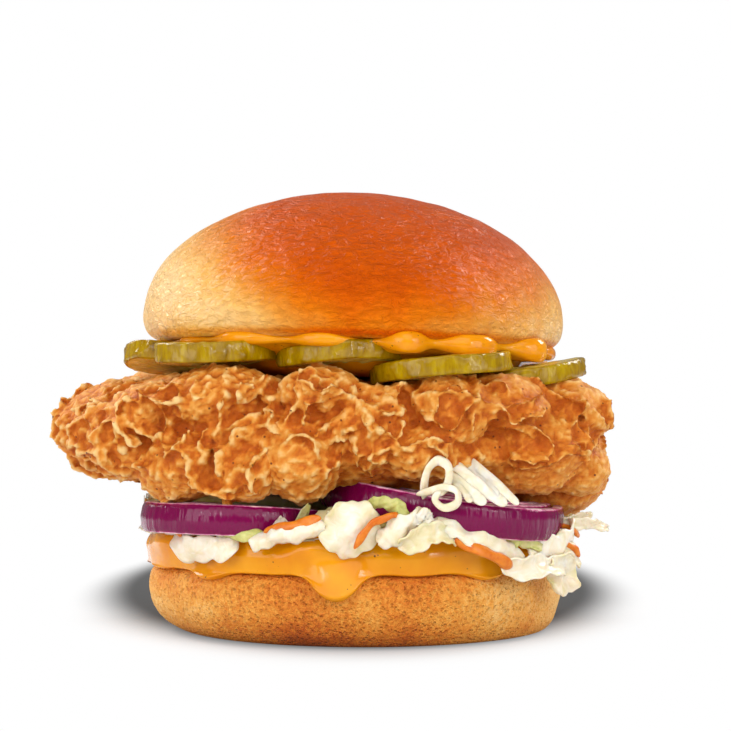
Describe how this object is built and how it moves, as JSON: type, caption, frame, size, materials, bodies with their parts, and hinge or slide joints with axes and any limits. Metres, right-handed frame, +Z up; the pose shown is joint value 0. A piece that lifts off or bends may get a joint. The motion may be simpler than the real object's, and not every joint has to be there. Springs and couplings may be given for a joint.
{
  "type": "chicken burger",
  "caption": "Chicken burger: a glazed bun around pickles, a crisp fried fillet, red onion, slaw and sauce.",
  "frame": {"origin": "middle of the heel's flat base", "axes": "+Z up through the burger, +X along the fillet's length, -Y the front"},
  "size_m": [0.1448, 0.1129, 0.1126],
  "materials": {
    "baked_crown": "egg-glazed baked crust",
    "baked_heel": "matt baked crust",
    "cheddar_sauce": "glossy thick sauce",
    "slaw": "wet cut vegetable",
    "red_onion": "wet glossy skin",
    "fried_crust": "crisp fried breading",
    "pickle": "wet glossy skin"
  },
  "bodies": {
    "root": {"heel": "baked_heel", "lower_sauce": "cheddar_sauce", "slaw": "slaw", "cabbage_leaf_front": "slaw", "cabbage_leaf_right": "slaw", "slaw_tuft": "slaw", "onion_left": "red_onion", "onion_right": "red_onion", "fillet": "fried_crust", "pickle_far_left": "pickle", "pickle_left": "pickle", "pickle_middle": "pickle", "pickle_front_right": "pickle", "pickle_right": "pickle", "pickle_back_left": "pickle", "pickle_back_right": "pickle", "upper_sauce": "cheddar_sauce", "crown": "baked_crown"}
  },
  "joints": []
}
